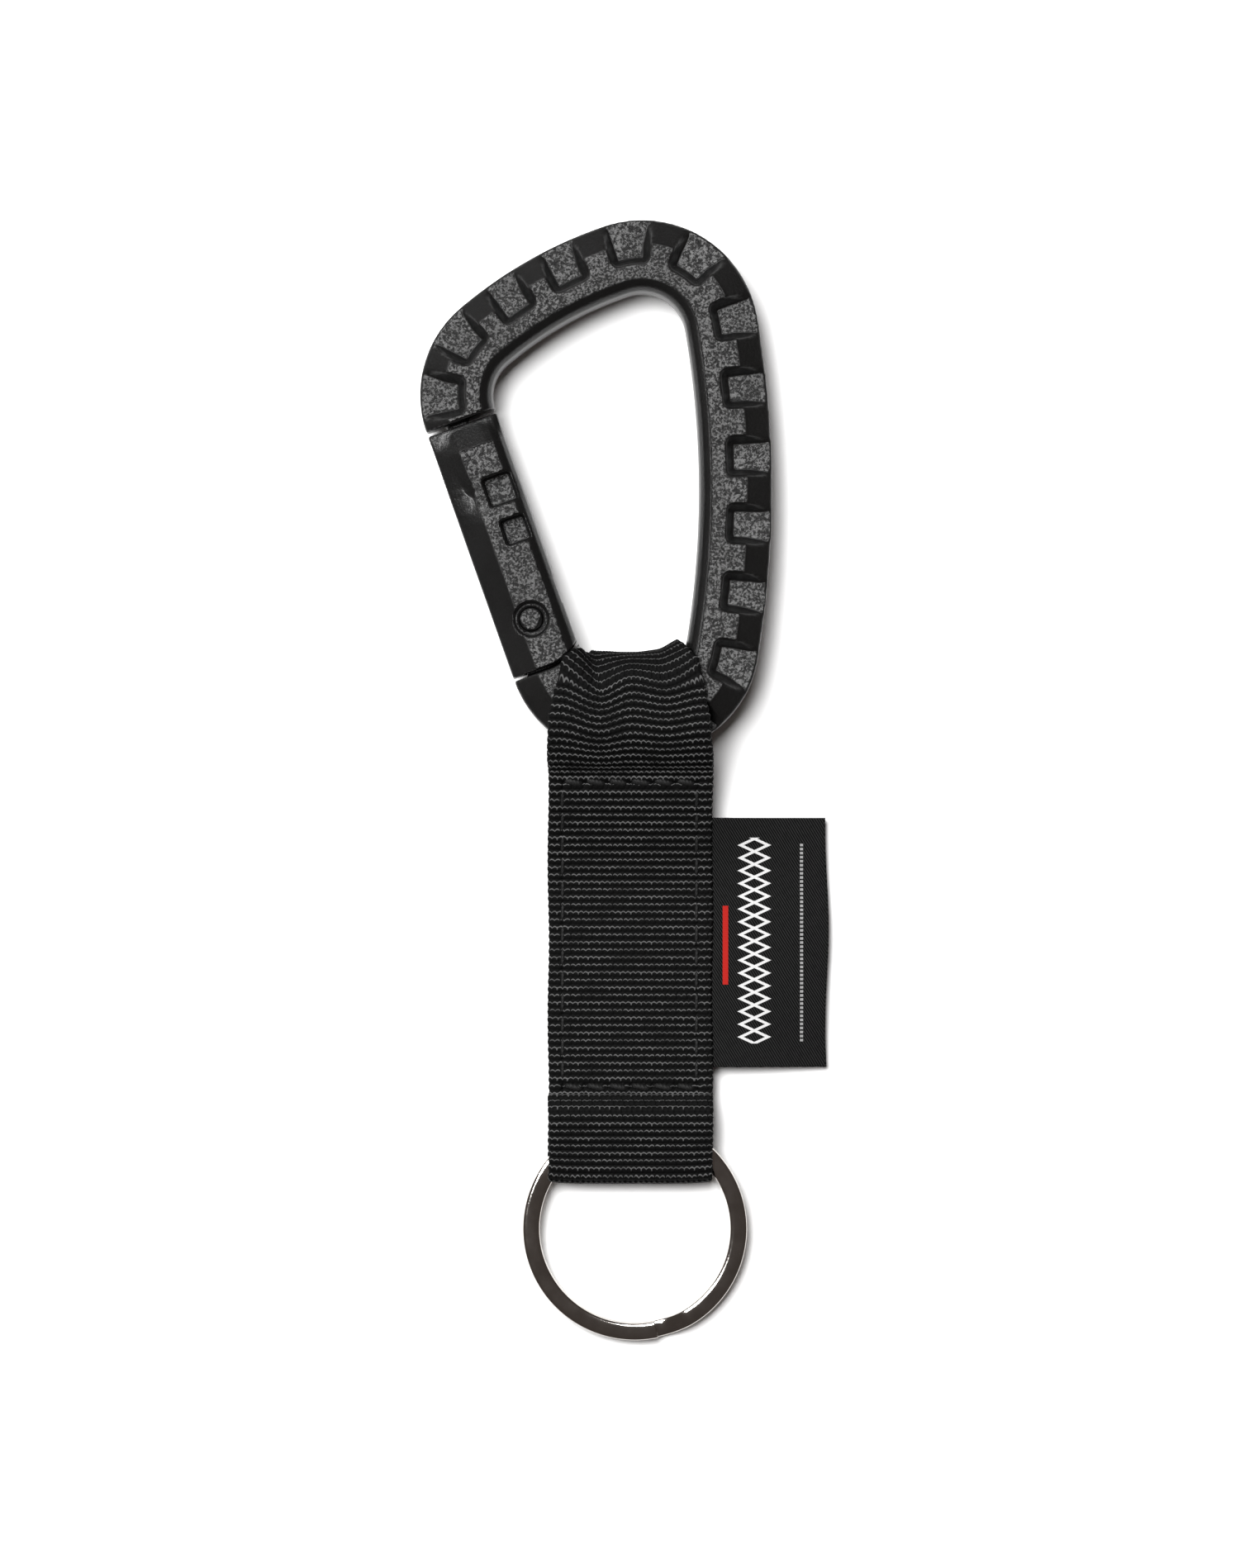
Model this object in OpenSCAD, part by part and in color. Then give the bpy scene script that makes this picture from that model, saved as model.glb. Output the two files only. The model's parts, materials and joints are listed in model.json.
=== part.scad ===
// Carabiner keyring: a moulded snap carabiner, a sewn webbing strap with a woven label, and a split ring.
// It lies on its back on the plane z = 0, with the carabiner towards +Y and the split ring towards -Y.

/* [Carabiner bar] */
// Width of the moulded bar, seen from the front
bar_w = 11.1; // [10.5:0.1:11.6]
// Thickness of the bar, front to back
bar_t = 9.5; // [9:0.1:10.5]
// Width of the bevel on the outer edge, seen from the front
bevel_w = 3.8; // [3:0.1:4.2]
// Height that the bevel takes off each face, which is also the depth of the pockets
bevel_drop = 2.45; // [2:0.05:2.7]
// Radius of the rounded inner edge
inner_r = 3; // [2:0.1:3.4]
// Radii of the bar's centre line: nose corner, long slope, top corner, spine
bend_r = [11.75, 61.2, 12.2, 148.5];
// Angles that those bends turn through
bend_a = [68.9, 21.8, 99, 19.5];
// Radius of the bottom bar's centre line
bottom_r = 20; // [18:1:26]
// Angles of the lower right corner and of the bottom bar
bottom_a = [60, 30];

/* [Pockets] */
// Places of the pockets' middles, along the centre line from the nose
pocket_at = [3.7, 11.6, 20.7, 29.8, 39.6, 48.8, 58.4, 68.7, 79, 89.2, 99.6, 109.8, 119.2];
// Length of a pocket's mouth along the bar
pocket_len = 6; // [5:0.1:6.2]
// How far a wall leans out from the floor to the mouth
pocket_draft = 0.9; // [0.5:0.05:1.1]
// Where a pocket's mouth ends, measured from the centre line inwards
pocket_end = 1.3; // [0.8:0.1:1.6]

/* [Gate] */
// Angle between the gate and the Y axis
gate_tilt = 19.5; // [17:0.5:22]
// Place of the gate's pivot
pivot_at = [-13.9, 24.34];
// Distance from the pivot to the gate's free end
gate_reach = 31.35; // [30.8:0.05:31.4]
// Distance from the pivot to the nose's end face
nose_reach = 32.05; // [32.05:0.05:32.4]
// Radius of the boss that the gate turns on
boss_r = 1.8; // [1.6:0.05:1.9]
// Radial clearance of running fits
running = 0.05; // [0.02:0.01:0.1]

/* [Strap] */
// Width of the webbing
web_w = 25; // [24:0.5:26]
// Thickness of one layer of webbing
web_t = 1.2; // [1:0.05:1.2]
// Middle of the strap across
strap_x = 1.1; // [0:0.1:2]
// Heights in Y of the upper and the lower stitch row
seam_y = [-0.2, -46.6];
// How far the panel goes on past each stitch row
seam_margin = 1.3; // [1:0.1:1.6]
// How high the bar holds the panel's upper end off the table
lift = 4; // [3.6:0.1:4.2]
// Length of panel that slopes down from there to the table
lift_run = 18; // [16:1:24]

/* [Label] */
// Free width of the folded label
label_w = 17.1; // [14:0.1:20]
// Height of the label
label_h = 38; // [30:1:38]
// Thickness of the folded label
label_t = 0.7; // [0.5:0.05:0.7]
// Y of the label's upper edge
label_top = -5.6; // [-7:0.1:-5]

/* [Split ring] */
// Outer radius of the ring
ring_r = 17.1; // [16.5:0.05:17.2]
// Width of the flat wire
ring_w = 2.6; // [2:0.1:2.8]
// Thickness of one coil
coil_t = 1.15; // [1:0.05:1.2]
// Centre of the ring
ring_at = [1.8, -68.1];
// Slope of the ring, whose lower end rests on the table
ring_slope = 3; // [2.8:0.1:3.2]

/* [Hidden] */
$fn = 64;

half_w = bar_w / 2;
half_t = bar_t / 2;
side_z = half_t - bevel_drop;    // where the bevel meets the outer wall
bevel_u = half_w - bevel_w;      // where it meets the flat face
round_u = -half_w + inner_r;     // where the rounded inner edge starts
round_steps = 4;
plastic = "#26272a";
fabric = "#17181a";
thread = "#101113";
steel = "#c9c6c0";

// ---- Centre line of the bar: arcs that turn clockwise, solved so that it ends on the gate's own line

along = [-sin(gate_tilt), cos(gate_tilt)];    // the gate's direction, pivot to nose
shoulder = 8;                                 // pivot to the frame's lower shoulder
// straight length past the last bend, trimmed by the gate's clearance
stub_reach = 3;
nose = pivot_at + nose_reach * along;
stub = pivot_at - shoulder * along;

function right_of(h) = [sin(h), -cos(h)];
function turn(h, a) = right_of(h) - right_of(h - a);    // chord of a unit arc that starts at heading h
function total(v, n) = n <= 0 ? 0 : v[n - 1] + total(v, n - 1);
function path_end(r, a, n) = n <= 0 ? nose
    : path_end(r, a, n - 1) + r[n - 1] * turn(start_h - total(a, n - 1), a[n - 1]);
function cross2(a, b) = a[0] * b[1] - a[1] * b[0];

start_h = 90 + gate_tilt;
angles = concat(bend_a, bottom_a, [360 - total(bend_a, 4) - total(bottom_a, 2)]);
heads = [for (i = [0:6]) start_h - total(angles, i)];
gap = stub - path_end(bend_r, angles, 4) - bottom_r * turn(heads[5], angles[5]);
corner_chord = turn(heads[4], angles[4]);
heel_chord = turn(heads[6], angles[6]);
corner_r = cross2(gap, heel_chord) / cross2(corner_chord, heel_chord);
heel_r = cross2(corner_chord, gap) / cross2(corner_chord, heel_chord);
radii = concat(bend_r, [corner_r, bottom_r, heel_r]);
starts = [for (i = [0:7]) path_end(radii, angles, i)];
lengths = [for (i = [0:6]) radii[i] * angles[i] * PI / 180];
path_len = total(lengths, 7);
top_y = starts[2][1] + radii[2] * right_of(heads[2])[1] + radii[2] + half_w;

// Place and heading at a distance s along the path
function place(s, i = 0) =
    i > 6 ? [starts[7] + s * along, start_h] :
    s <= lengths[i] ?
        let(a = s / radii[i] * 180 / PI, h = heads[i] - a)
        [starts[i] + radii[i] * turn(heads[i], a), h] :
    place(s - lengths[i], i + 1);

// ---- Section of the bar at a depth t inside a pocket's side wall (t <= 0 is outside every pocket)

corner_round = 1;
function wall_part(t) = min(1, max(0, t) / pocket_draft);
function mouth_u(t) =
    let(c = max(0, corner_round - max(0, t)))
    -pocket_end + corner_round - sqrt(pow(corner_round, 2) - c * c);
function half_section(t) =
    let(f = wall_part(t), z = half_t - bevel_drop * f, m = mouth_u(t))
    concat(
        [[half_w, side_z], [bevel_u, z], [m + pocket_draft * f, z], [m, half_t]],
        [for (i = [0:round_steps]) let(a = 90 * i / round_steps)
            [round_u - inner_r * sin(a), half_t - inner_r + inner_r * cos(a)]]
    );
function mirrored(pts) = concat(pts, [for (i = [len(pts) - 1:-1:0]) [pts[i][0], -pts[i][1]]]);

// Stations along the bar: close together at each pocket's walls, wider apart elsewhere
wall_steps = [0, 0.35, 0.9, 1.5];
function pocket_stations(c) = concat(
    [for (w = wall_steps) [c - pocket_len / 2 + w, w]],
    [[c - 0.6, 2.4], [c + 0.6, 2.4]],
    [for (i = [3:-1:0]) [c + pocket_len / 2 - wall_steps[i], wall_steps[i]]]
);
last = len(pocket_at) - 1;
function rib_stations(a, b) =
    let(n = max(1, floor((b - a) / 1.3)))
    [for (i = [1:n]) [a + (b - a) * i / (n + 1), 0]];
stations = concat(
    [[0, 0]],
    [for (i = [0:last]) each concat(
        i == 0 ? [] : rib_stations(pocket_at[i - 1] + pocket_len / 2, pocket_at[i] - pocket_len / 2),
        pocket_stations(pocket_at[i])
    )],
    rib_stations(pocket_at[last] + pocket_len / 2, path_len + stub_reach),
    [[path_len + stub_reach, 0]]
);

function ring_at_station(st) =
    let(p = place(st[0]), n = -right_of(p[1]))
    [for (q = mirrored(half_section(st[1]))) [p[0][0] + q[0] * n[0], p[0][1] + q[0] * n[1], q[1]]];

// Closed skin through a row of rings with equal numbers of points
module skin(rings) {
    n = len(rings[0]);
    m = len(rings);
    sides = [for (i = [0:m - 2], j = [0:n - 1])
        let(a = i * n + j, b = i * n + (j + 1) % n, c = a + n, d = b + n) each [[a, c, b], [b, c, d]]];
    caps = [[for (j = [0:n - 1]) j], [for (j = [n - 1:-1:0]) (m - 1) * n + j]];
    polyhedron(points = [for (r = rings) each r], faces = concat(sides, caps));
}

// ---- Placing

under_bar = 15;                                      // Y of the last webbing under the bar
lean = atan((web_t + 0.1) / (top_y - under_bar));    // the bar rests on that and on its own top end

// Moves a moulding from its own mid-plane to where it rests
module resting() {
    translate([0, top_y, 0]) rotate([-lean, 0, 0]) translate([0, -top_y, half_t]) children();
}

// Gate coordinates: the pivot is the origin, +Y runs to the nose, +X to the inside
module at_gate() {
    resting() translate([pivot_at[0], pivot_at[1], 0]) rotate(gate_tilt) children();
}

module plate(thick) {
    translate([0, 0, -thick / 2]) linear_extrude(thick) children();
}

// ---- Carabiner frame: bar, nose tab, and pivot tongue with a snap boss on each face

tongue_t = 4.2;
tongue_r = 3.4;
tongue_w = 3.2;        // half width of the tongue's root
toe = [4.35, 3];       // corner of the lug that the plunger bears on
tab = [-2.4, 1.1];     // nose tab, outer and inner side
tab_t = 3.2;
tab_end = 24;
counterbore_r = 2.65;
counterbore_t = 1;
boss_top = half_t - counterbore_t - 0.1;

module tongue_outline() {
    circle(tongue_r);
    translate([-tongue_w, -shoulder - 3]) square([2 * tongue_w, shoulder + 3]);
    square(toe);
}

module tab_outline() {
    polygon([
        [tab[0], nose_reach + 1.5], [tab[1], nose_reach + 1.5], [tab[1], tab_end + 1],
        [tab[1] - 1, tab_end], [tab[0] + 0.8, tab_end], [tab[0], tab_end + 1]
    ]);
}

module boss() {
    difference() {
        cylinder(h = boss_top, r = boss_r);
        // lead-in ramp, over which the gate snaps on
        translate([0.75, -0.75, boss_top]) rotate([0, 0, -45]) rotate([0, 24, 0])
            translate([0, -3, 0]) cube([4, 6, 3]);
    }
}

module carabiner_frame() {
    color(plastic) {
        difference() {
            resting() skin([for (st = stations) ring_at_station(st)]);
            at_gate() plate(bar_t + 2) {
                circle(shoulder);
                translate([-half_w - 1, -shoulder]) square([half_w + 1, shoulder]);
            }
        }
        at_gate() {
            plate(tongue_t) tongue_outline();
            plate(tab_t) tab_outline();
            boss();
            mirror([0, 0, 1]) boss();
        }
    }
}

// ---- Gate: a hollow moulding, open below and inside for the tongue, and outside at the nose

heel_gap = 0.5;
channel_t = 4.5;
slot_end = 22.7;
spring_u = 1.6;
spring_bore_r = 1.6;
spring_bore_end = 18.2;
channel_top = 5.4;
window_floor = 2.45;

// Crown height along the gate: lowered at the free end and in a shallow thumb dip
nose_fall = 1.1;
dip = 0.45;
function crown(v) =
    half_t - nose_fall * min(1, max(0, (v - 27.3) / (gate_reach - 27.3)))
    - (v > 16 && v < 23 ? dip * pow(sin((v - 16) / 7 * 180), 2) : 0);
function gate_half(v) =
    let(top = crown(v))
    concat(
        [[-half_w, side_z], [-bevel_u, top]],
        [for (i = [0:round_steps]) let(a = 90 * i / round_steps)
            [-round_u + inner_r * sin(a), half_t - inner_r + (top - half_t + inner_r) * cos(a)]]
    );
gate_stations = [-shoulder, -4, 0, 4, 8, 12, 16, 17.4, 18.8, 20.2, 21.6, 23, 25, 27.3, 29, gate_reach];

module gate_body() {
    intersection() {
        skin([for (v = gate_stations) [for (q = mirrored(gate_half(v))) [q[0], v, q[1]]]]);
        plate(bar_t + 2) {
            circle(shoulder - heel_gap);
            translate([-half_w - 1, heel_gap - shoulder]) square([half_w + 1, shoulder]);
            translate([-half_w - 1, 0]) square([bar_w + 2, gate_reach + 1]);
        }
    }
}

module channel_outline() {
    circle(tongue_r + 0.3);
    translate([-tongue_w - 0.35, -shoulder - 1]) square([bar_w, shoulder + 1]);
    translate([0, -1]) square([bar_w, channel_top + 1]);
}

// Rounded window, sunk from the front face
module window(at, size) {
    r = 0.5;
    translate([at[0], at[1], window_floor]) linear_extrude(bar_t) {
        square(size - [2 * r, 0], center = true);
        square(size - [0, 2 * r], center = true);
        for (x = [-1, 1], y = [-1, 1]) translate([x * (size[0] / 2 - r), y * (size[1] / 2 - r)]) circle(r);
    }
}

module face_cuts() {
    cylinder(h = bar_t, r = boss_r + running);
    translate([0, 0, half_t - counterbore_t]) cylinder(h = bar_t, r = counterbore_r);
    window([2.1, 20.2], [4.4, 4.5]);
    window([2.25, 13.6], [3.8, 4]);
}

module gate() {
    color(plastic) at_gate() difference() {
        gate_body();
        plate(channel_t) channel_outline();
        plate(tab_t + 0.7) translate([-half_w - 1, slot_end]) square([half_w + 2.4, gate_reach]);
        translate([spring_u, 2, 0]) rotate([-90, 0, 0]) cylinder(h = spring_bore_end - 2, r = spring_bore_r);
        // shallow relief over the toe's window
        plate(7) translate([half_w - 0.3, 0.8]) square([1, channel_top - 1]);
        face_cuts();
        mirror([0, 0, 1]) face_cuts();
    }
}

// ---- Return spring and its plunger, in the gate's bore

plunger_r = spring_bore_r - 0.1;
// centre of its round tip, just off the tongue
plunger_v = sqrt(pow(tongue_r + plunger_r + 0.03, 2) - pow(spring_u, 2));
plunger_body = 3;
spring_from = plunger_v + plunger_body + 0.1;
spring_to = spring_bore_end - 0.1;
coil_r = 1.05;
wire_r = 0.22;
spring_turns = 9;
turn_steps = 14;

module spring_plunger() {
    color("dimgray") at_gate() translate([spring_u, plunger_v, 0]) rotate([-90, 0, 0]) {
        sphere(plunger_r);
        cylinder(h = plunger_body, r = plunger_r);
        cylinder(h = plunger_body + 1.8, r = coil_r - wire_r - 0.15);
    }
}

module gate_spring() {
    rise = spring_to - spring_from - 2 * wire_r;
    steps = spring_turns * turn_steps;
    rings = [for (i = [0:steps]) let(f = i / steps, a = 360 * spring_turns * f)
        [for (k = [0:5]) let(b = 60 * k, r = coil_r + wire_r * cos(b))
            [r * cos(a), r * sin(a), wire_r + rise * f + wire_r * sin(b)]]];
    color(steel) at_gate() translate([spring_u, spring_from, 0]) rotate([-90, 0, 0]) skin(rings);
}

// ---- Strap: layers of webbing whose upper end slopes up to the bar

panel_top = seam_y[0] + seam_margin;
panel_end = seam_y[1] - seam_margin;
strap_l = strap_x - web_w / 2;
strap_r = strap_x + web_w / 2;
front_z = 2 * web_t;    // underside of the front layer on the table
groove_w = 1.2;
groove_d = 0.35;         // in the front layer
back_groove_d = 0.5;     // in the back layer, so that its threads stay off the table

function slope_z(y) =
    let(f = min(1, max(0, (y - panel_top + lift_run) / lift_run)))
    lift * f * f * (3 - 2 * f) * 0.5 + lift * f * f * 0.5;

// A layer between two heights, following the slope
module layer(z0, z1, x0, x1, y0, y1) {
    n = 12;
    ys = concat(
        [y0],
        [for (i = [0:n]) let(y = panel_top - lift_run * (1 - i / n)) if (y > y0 + 0.3 && y < y1 - 0.3) y],
        [y1]
    );
    outline = concat([for (y = ys) [y, z0 + slope_z(y)]],
        [for (i = [len(ys) - 1:-1:0]) [ys[i], z1 + slope_z(ys[i])]]);
    translate([x0, 0, 0]) rotate([90, 0, 90]) linear_extrude(x1 - x0) polygon(outline);
}

column_x = [-9.2, 11.2];
tab_depth = 5;

// Grooves that the four seams pull into the outer layers
module seam_grooves(z0, z1) {
    for (y = seam_y) layer(z0, z1, column_x[0] - groove_w / 2, column_x[1] + groove_w / 2,
        y - groove_w / 2, y + groove_w / 2);
    for (x = column_x) layer(z0, z1, x - groove_w / 2, x + groove_w / 2, seam_y[1], seam_y[0]);
}

module strap_front_panel() {
    top = front_z + web_t;
    color(fabric) difference() {
        layer(front_z, top, strap_l, strap_r, panel_end, panel_top);
        seam_grooves(top - groove_d, top + 1);
        layer(front_z - 1, front_z + label_t, strap_r - tab_depth, strap_r + 1,
            label_top - label_h, label_top);
    }
}

module strap_tail_layer() {
    color(fabric) layer(web_t, front_z, strap_l, strap_r, panel_end, seam_y[0] - 2);
}

module strap_back_panel() {
    color(fabric) difference() {
        layer(0, web_t, strap_l, strap_r, panel_end, panel_top);
        seam_grooves(-1, back_groove_d);
    }
}

// Profile of the loop round the bar, seen from the side, with the Y axis to the right
fold_y = 20.5;        // the fold's furthest point
loop_room = 0.55;     // play of the bar between the loop's two layers
fold_r = (bar_t + 2 * web_t + loop_room) / 2;
crest = 2 * fold_r;
module top_loop_profile() {
    s = slope_z(panel_top);
    difference() {
        union() {
            polygon([
                [panel_top, s], [panel_top + 1.2, 2.6], [panel_top + 3.2, 0.6], [panel_top + 5, 0],
                [fold_y - fold_r, 0], [fold_y - fold_r, crest], [8.2, crest], [6.6, crest - 0.35],
                [2.7, crest - 2.9], [panel_top, s + 3 * web_t]
            ]);
            translate([fold_y - fold_r, fold_r]) circle(fold_r);
        }
        polygon([
            [panel_top - 1, s + web_t], [panel_top + 0.9, s + web_t], [panel_top + 2.2, 3.1],
            [panel_top + 3.7, web_t + 0.5], [panel_top + 5.3, web_t], [fold_y - fold_r, web_t],
            [fold_y - fold_r, crest - web_t], [8.4, crest - web_t], [7.2, crest - web_t - 0.12],
            [3.4, crest - web_t - 2.6], [panel_top + 0.9, s + 2 * web_t], [panel_top - 1, s + 2 * web_t]
        ]);
        translate([fold_y - fold_r, fold_r]) circle(fold_r - web_t);
    }
}

module strap_top_loop() {
    inside = [-4.6, 7.2];    // the bunched width that passes through the carabiner
    color(fabric) intersection() {
        translate([strap_l, 0, 0]) rotate([90, 0, 90]) linear_extrude(web_w) top_loop_profile();
        translate([0, 0, -1]) linear_extrude(crest + 2) polygon([
            [strap_l, panel_top], [strap_r, panel_top], [strap_r, 9], [inside[1], 16.5],
            [inside[1], fold_y + 1], [inside[0], fold_y + 1], [inside[0], 16.5], [strap_l, 9]
        ]);
    }
}

// Fold that holds the split ring
loop_end = -61.3;
ring_room = 0.25;
module strap_ring_loop() {
    tuck = panel_end - 2.3;    // where the wider tunnel starts
    outer = [
        [panel_end, web_t], [tuck, 0], [loop_end + 1.6, 0], [loop_end + 0.5, 0.5], [loop_end, 1.6],
        [loop_end, 3.5], [loop_end + 0.5, 4.7], [loop_end + 1.7, 5.35], [tuck - 1.7, 5.75],
        [tuck, 5.6], [panel_end, front_z + web_t]
    ];
    inner = [
        [panel_end + 1, 2 * web_t], [panel_end, 2 * web_t], [tuck - 0.1, web_t], [loop_end + 1.9, web_t],
        [loop_end + 1.3, 1.55], [loop_end + 1.2, 2.1], [loop_end + 1.2, 3.4], [loop_end + 1.5, 3.9],
        [loop_end + 2, 4.15], [tuck - 1.7, 4.55], [tuck - 0.3, 4.42], [panel_end, front_z + 0.01],
        [panel_end + 1, front_z + 0.01]
    ];
    color(fabric) difference() {
        translate([strap_l, 0, 0]) rotate([90, 0, 90]) linear_extrude(web_w) difference() {
            polygon(outer);
            polygon(inner);
        }
        // room for the ring, where it leaves through the fold's corners
        ring_place() translate([0, 0, -ring_room]) rotate_extrude()
            translate([ring_r - ring_w - ring_room, 0])
                square([ring_w + 2 * ring_room, ring_t + 2 * ring_room]);
    }
}

// ---- Label: a woven ribbon folded at its right edge, its ends sewn into the strap

label_gap = 0.4;    // room for the ribbon's bend
fold_inset = 0.15;  // on each side of the thinner folded edge

module label() {
    x0 = strap_r + label_gap;
    color("#1b1c1f") translate([x0, label_top - label_h, front_z]) {
        cube([label_w - 0.2, label_h, label_t]);
        translate([label_w - 0.21, 0, fold_inset]) cube([0.21, label_h, label_t - 2 * fold_inset]);
    }
}

module label_tab() {
    color("#1b1c1f") layer(front_z, front_z + label_t, strap_r - tab_depth + 0.1, strap_r,
        label_top - label_h + 0.1, label_top - 0.1);
}

// ---- Seams: each stitch is a short rounded bar of thread, in its groove

stitch_pitch = 3.42;
stitch_len = 2.7;
stitch_slant = 12;
thread_r = 0.22;
thread_off = 0.08;    // from the groove's floor to the thread

function rise(y) = atan(slope_z(y + 0.5) - slope_z(y - 0.5));

// One stitch along +X
module stitch() {
    translate([-stitch_len / 2 + thread_r, 0, 0]) rotate([0, 90, 0])
        cylinder(h = stitch_len - 2 * thread_r, r = thread_r);
    for (side = [-1, 1]) translate([side * (stitch_len / 2 - thread_r), 0, 0]) sphere(thread_r);
}

module stitch_row(y, z) {
    n = 6;
    for (i = [0:n - 1]) translate([strap_x + (i - (n - 1) / 2) * stitch_pitch, y, z + slope_z(y)])
        rotate([rise(y), 0, 0]) rotate(stitch_slant) stitch();
}

module stitch_column(x, z) {
    n = 13;
    for (i = [0:n - 1]) let(y = (seam_y[0] + seam_y[1]) / 2 + (i - (n - 1) / 2) * stitch_pitch)
        translate([x, y, z + slope_z(y)]) rotate([rise(y), 0, 0]) rotate(90) stitch();
}

front_thread_z = front_z + web_t - groove_d + thread_r + thread_off;
back_thread_z = back_groove_d - thread_r - thread_off / 2;

module thread_top_front() color(thread) stitch_row(seam_y[0], front_thread_z);
module thread_bottom_front() color(thread) stitch_row(seam_y[1], front_thread_z);
module thread_left_front() color(thread) stitch_column(column_x[0], front_thread_z);
module thread_right_front() color(thread) stitch_column(column_x[1], front_thread_z);
module thread_top_back() color(thread) stitch_row(seam_y[0], back_thread_z);
module thread_bottom_back() color(thread) stitch_row(seam_y[1], back_thread_z);
module thread_left_back() color(thread) stitch_column(column_x[0], back_thread_z);
module thread_right_back() color(thread) stitch_column(column_x[1], back_thread_z);

// ---- Split ring: two flat coils of one wire, joined by a short step

coil_gap = 0.06;
coil_rise = coil_t + coil_gap;
ring_t = coil_rise + coil_t;
wire_end = -75;      // angle where the wire is down at the lower coil, under the upper coil's cut end
step_a = 18;         // angle from there to where it has come up to the upper coil
step_run = 3.6;      // length of its slope
end_gap = 1.2;       // angle left open before each cut end

// Puts the ring where it lies, sloping up into its tunnel
module ring_place() {
    translate([ring_at[0], ring_at[1] - ring_r, 0]) rotate([ring_slope, 0, 0])
        translate([0, ring_r, 0]) children();
}

// One ring of both coils' height, slit along its middle and cut free above and below the wire's step
module split_ring() {
    half = step_run / 2;
    lead = coil_rise / step_run;
    cut_y = (ring_r - ring_w / 2) * sin(step_a / 2 + end_gap);
    color(steel) ring_place() rotate(wire_end + step_a / 2) difference() {
        rotate_extrude() translate([ring_r - ring_w, 0]) square([ring_w, ring_t]);
        rotate(step_a / 2) rotate_extrude(angle = 360 - step_a)
            translate([ring_r - ring_w - 1, coil_t]) square([ring_w + 2, coil_gap]);
        rotate([90, 0, 90]) linear_extrude(ring_r + 2) {
            polygon([[half + 1, ring_t + lead], [-half, coil_t],
                [-cut_y, coil_t], [-cut_y, ring_t + lead]]);
            polygon([[-half - 1, -lead], [half, coil_rise], [cut_y, coil_rise], [cut_y, -lead]]);
        }
    }
}

carabiner_frame();
gate();
gate_spring();
spring_plunger();
strap_top_loop();
strap_front_panel();
strap_tail_layer();
strap_back_panel();
strap_ring_loop();
label();
label_tab();
thread_top_front();
thread_bottom_front();
thread_left_front();
thread_right_front();
thread_top_back();
thread_bottom_back();
thread_left_back();
thread_right_back();
split_ring();
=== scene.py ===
import json
import math

import bpy
import numpy as np
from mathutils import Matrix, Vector


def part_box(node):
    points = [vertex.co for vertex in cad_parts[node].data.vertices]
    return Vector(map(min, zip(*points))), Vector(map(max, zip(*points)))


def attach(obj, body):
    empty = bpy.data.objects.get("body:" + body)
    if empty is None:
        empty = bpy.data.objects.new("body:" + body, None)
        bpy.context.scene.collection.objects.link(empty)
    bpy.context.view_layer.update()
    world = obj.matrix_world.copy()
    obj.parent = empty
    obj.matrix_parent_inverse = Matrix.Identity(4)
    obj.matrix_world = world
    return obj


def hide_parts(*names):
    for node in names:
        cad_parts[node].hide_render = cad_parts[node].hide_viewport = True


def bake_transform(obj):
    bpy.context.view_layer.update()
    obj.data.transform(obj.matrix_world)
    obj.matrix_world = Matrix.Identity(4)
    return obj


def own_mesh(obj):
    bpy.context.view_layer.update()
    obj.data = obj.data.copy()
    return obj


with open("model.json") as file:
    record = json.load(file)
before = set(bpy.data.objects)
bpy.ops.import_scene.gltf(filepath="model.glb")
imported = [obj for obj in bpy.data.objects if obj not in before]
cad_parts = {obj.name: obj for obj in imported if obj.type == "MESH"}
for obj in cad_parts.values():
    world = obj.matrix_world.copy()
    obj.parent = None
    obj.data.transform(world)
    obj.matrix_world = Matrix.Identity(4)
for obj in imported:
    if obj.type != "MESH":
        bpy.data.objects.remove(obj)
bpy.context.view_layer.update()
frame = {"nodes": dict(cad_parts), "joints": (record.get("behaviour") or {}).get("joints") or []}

# ---- Carabiner frame
# One nylon moulding with 13 pockets a side, spark-eroded grain on its flat faces and plainer bevels; the
# flat faces also carry painted glints in their colour, where they would mirror the overhead light.
# The tool leaves small radii on every edge, so the exact shape gets a fine skin that rounds them.

MM = 0.001


class Link:
    """A node's socket, which adds Math nodes as it is used in arithmetic."""

    def __init__(self, material, socket):
        self.material = material
        self.socket = socket

    def maths(self, operation, *others):
        return self.material.node("ShaderNodeMath", {"operation": operation}, self, *others)

    def __add__(self, other):
        return self.maths("ADD", other)

    def __mul__(self, other):
        return self.maths("MULTIPLY", other)

    def __sub__(self, other):
        return self.maths("SUBTRACT", other)

    def __truediv__(self, other):
        return self.maths("DIVIDE", other)

    def __rsub__(self, other):
        settings = {"operation": "SUBTRACT"}
        return self.material.node("ShaderNodeMath", settings, other, self)

    __radd__ = __add__
    __rmul__ = __mul__


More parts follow.
